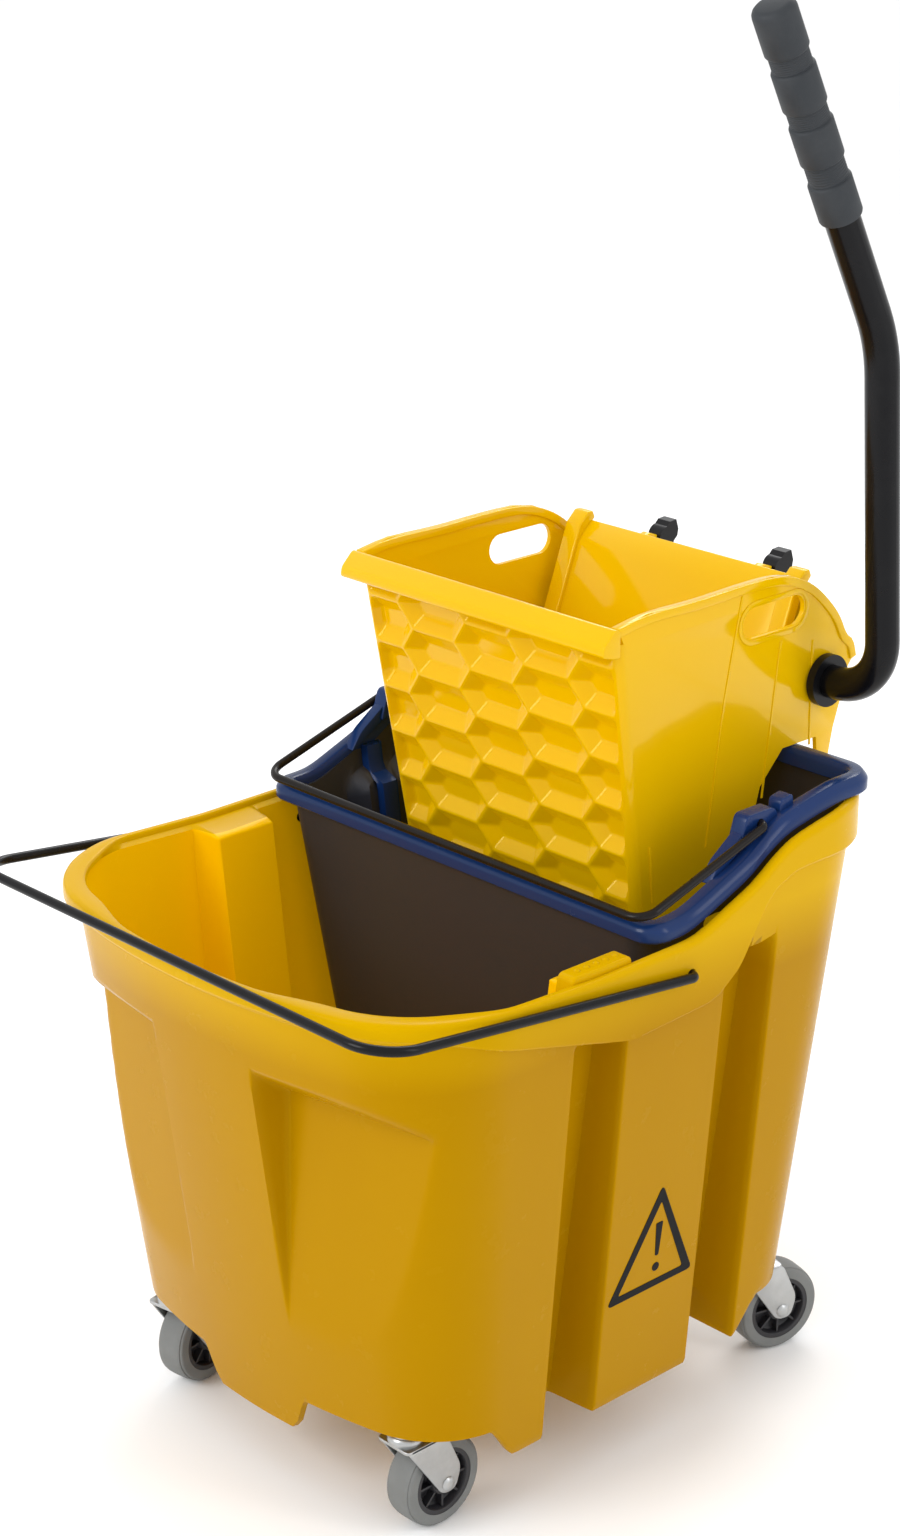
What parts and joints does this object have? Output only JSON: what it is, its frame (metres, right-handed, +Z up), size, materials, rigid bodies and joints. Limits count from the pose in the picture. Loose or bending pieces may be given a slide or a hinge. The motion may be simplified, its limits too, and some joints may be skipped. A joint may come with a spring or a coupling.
{
  "type": "mop bucket with wringer",
  "caption": "Wheeled mop bucket with carrying bail, lift-out dirty-water pail and a lever-worked down-press wringer.",
  "frame": {"origin": "on the floor under the middle of the overall box, with every wheel standing on z = 0", "axes": "+Z up, -Y towards the front of the bucket where the mop goes in, +X towards the wringer's lever"},
  "size_m": [0.415, 0.5242, 0.9789],
  "materials": {
    "bucket_yellow": "moulded polypropylene, satin gloss",
    "sign_black": "printed mark",
    "wire_black": "black coated steel wire",
    "socket_black": "moulded nylon",
    "stem_chrome": "bright zinc plating",
    "fork_zinc": "stamped, zinc plated",
    "axle_steel": "zinc plated rivet",
    "hub_black": "moulded nylon",
    "tread_grey": "non-marking grey rubber",
    "pail_grey": "moulded polypropylene, dark grey",
    "pail_blue": "moulded polypropylene, blue",
    "ear_blue": "moulded polypropylene, blue",
    "pail_wire_black": "black coated steel wire",
    "wringer_yellow": "moulded polypropylene, glossy",
    "cover_yellow": "moulded polypropylene, glossy",
    "plate_yellow": "moulded polypropylene, glossy",
    "screw_steel": "zinc plated",
    "bush_black": "moulded acetal",
    "spring_steel": "spring wire",
    "tube_black": "glossy black powder coat",
    "grip_grey": "soft rubber",
    "cam_black": "glass-filled nylon",
    "pin_steel": "bright steel"
  },
  "bodies": {
    "bucket": {"bucket_shell": "bucket_yellow", "warning_signs": "sign_black", "socket_fl": "socket_black", "socket_fr": "socket_black", "socket_bl": "socket_black", "socket_br": "socket_black", "stem_fl": "stem_chrome", "stem_fr": "stem_chrome", "stem_bl": "stem_chrome", "stem_br": "stem_chrome"},
    "caster_fl": {"fork_fl": "fork_zinc", "axle_fl": "axle_steel"},
    "wheel_fl": {"hub_fl": "hub_black", "tread_fl": "tread_grey"},
    "caster_fr": {"fork_fr": "fork_zinc", "axle_fr": "axle_steel"},
    "wheel_fr": {"hub_fr": "hub_black", "tread_fr": "tread_grey"},
    "caster_bl": {"fork_bl": "fork_zinc", "axle_bl": "axle_steel"},
    "wheel_bl": {"hub_bl": "hub_black", "tread_bl": "tread_grey"},
    "caster_br": {"fork_br": "fork_zinc", "axle_br": "axle_steel"},
    "wheel_br": {"hub_br": "hub_black", "tread_br": "tread_grey"},
    "bail": {"bail": "wire_black"},
    "pail": {"pail_body": "pail_grey", "pail_rim": "pail_blue", "pail_ear_r": "ear_blue", "pail_ear_l": "ear_blue"},
    "pail_bail": {"pail_bail": "pail_wire_black"},
    "wringer": {"wringer_body": "wringer_yellow", "rear_cover": "cover_yellow", "cover_screws": "screw_steel", "bush_r": "bush_black", "bush_l": "bush_black", "return_spring_r": "spring_steel", "return_spring_l": "spring_steel", "hinge_pin": "pin_steel"},
    "lever": {"handle_tube": "tube_black", "grip": "grip_grey", "cam_lever_r": "cam_black", "cam_lever_l": "cam_black"},
    "plate": {"press_plate": "plate_yellow"}
  },
  "joints": [
    {"name": "swivel_fl", "type": "hinge", "parent": "bucket", "child": "caster_fl", "pos_m": [-0.1215, -0.1655, 0.07], "axis": [0, 0, 1], "continuous": true},
    {"name": "roll_fl", "type": "hinge", "parent": "caster_fl", "child": "wheel_fl", "pos_m": [-0.12525, -0.1418, 0.033], "axis": [0.9877, 0.1564, 0], "continuous": true},
    {"name": "swivel_fr", "type": "hinge", "parent": "bucket", "child": "caster_fr", "pos_m": [0.1215, -0.1655, 0.07], "axis": [0, 0, 1], "continuous": true},
    {"name": "roll_fr", "type": "hinge", "parent": "caster_fr", "child": "wheel_fr", "pos_m": [0.1215, -0.1415, 0.033], "axis": [1, 0, 0], "continuous": true},
    {"name": "swivel_bl", "type": "hinge", "parent": "bucket", "child": "caster_bl", "pos_m": [-0.1215, 0.169, 0.07], "axis": [0, 0, 1], "continuous": true},
    {"name": "roll_bl", "type": "hinge", "parent": "caster_bl", "child": "wheel_bl", "pos_m": [-0.11899, 0.19287, 0.033], "axis": [0.9945, -0.1045, 0], "continuous": true},
    {"name": "swivel_br", "type": "hinge", "parent": "bucket", "child": "caster_br", "pos_m": [0.1215, 0.169, 0.07], "axis": [0, 0, 1], "continuous": true},
    {"name": "roll_br", "type": "hinge", "parent": "caster_br", "child": "wheel_br", "pos_m": [0.12771, 0.19218, 0.033], "axis": [0.9659, -0.2588, 0], "continuous": true},
    {"name": "bail_swing", "type": "hinge", "parent": "bucket", "child": "bail", "pos_m": [0, 0.0138, 0.374], "axis": [-1, 0, 0], "range_deg": [0, 75]},
    {"name": "pail_lift", "type": "slide", "parent": "bucket", "child": "pail", "axis": [0, 0, 1], "range_m": [0, 0.25]},
    {"name": "pail_bail_swing", "type": "hinge", "parent": "pail", "child": "pail_bail", "pos_m": [0, 0.098, 0.4502], "axis": [-1, 0, 0], "range_deg": [0, 40]},
    {"name": "wringer_lift", "type": "slide", "parent": "pail", "child": "wringer", "axis": [0, 0, 1], "range_m": [0, 0.25]},
    {"name": "lever_press", "type": "hinge", "parent": "wringer", "child": "lever", "pos_m": [0, 0.227, 0.506], "axis": [1, 0, 0], "range_deg": [0, 70], "stiffness_Nm_per_rad": 2.5, "springref_deg": -28.65},
    {"name": "plate_press", "type": "hinge", "parent": "wringer", "child": "plate", "pos_m": [0, 0.132, 0.352], "axis": [1, 0, 0], "range_deg": [0, 20]}
  ],
  "couplings": [
    {"joint": "plate_press", "follows": "lever_press", "ratio": 0.275}
  ]
}
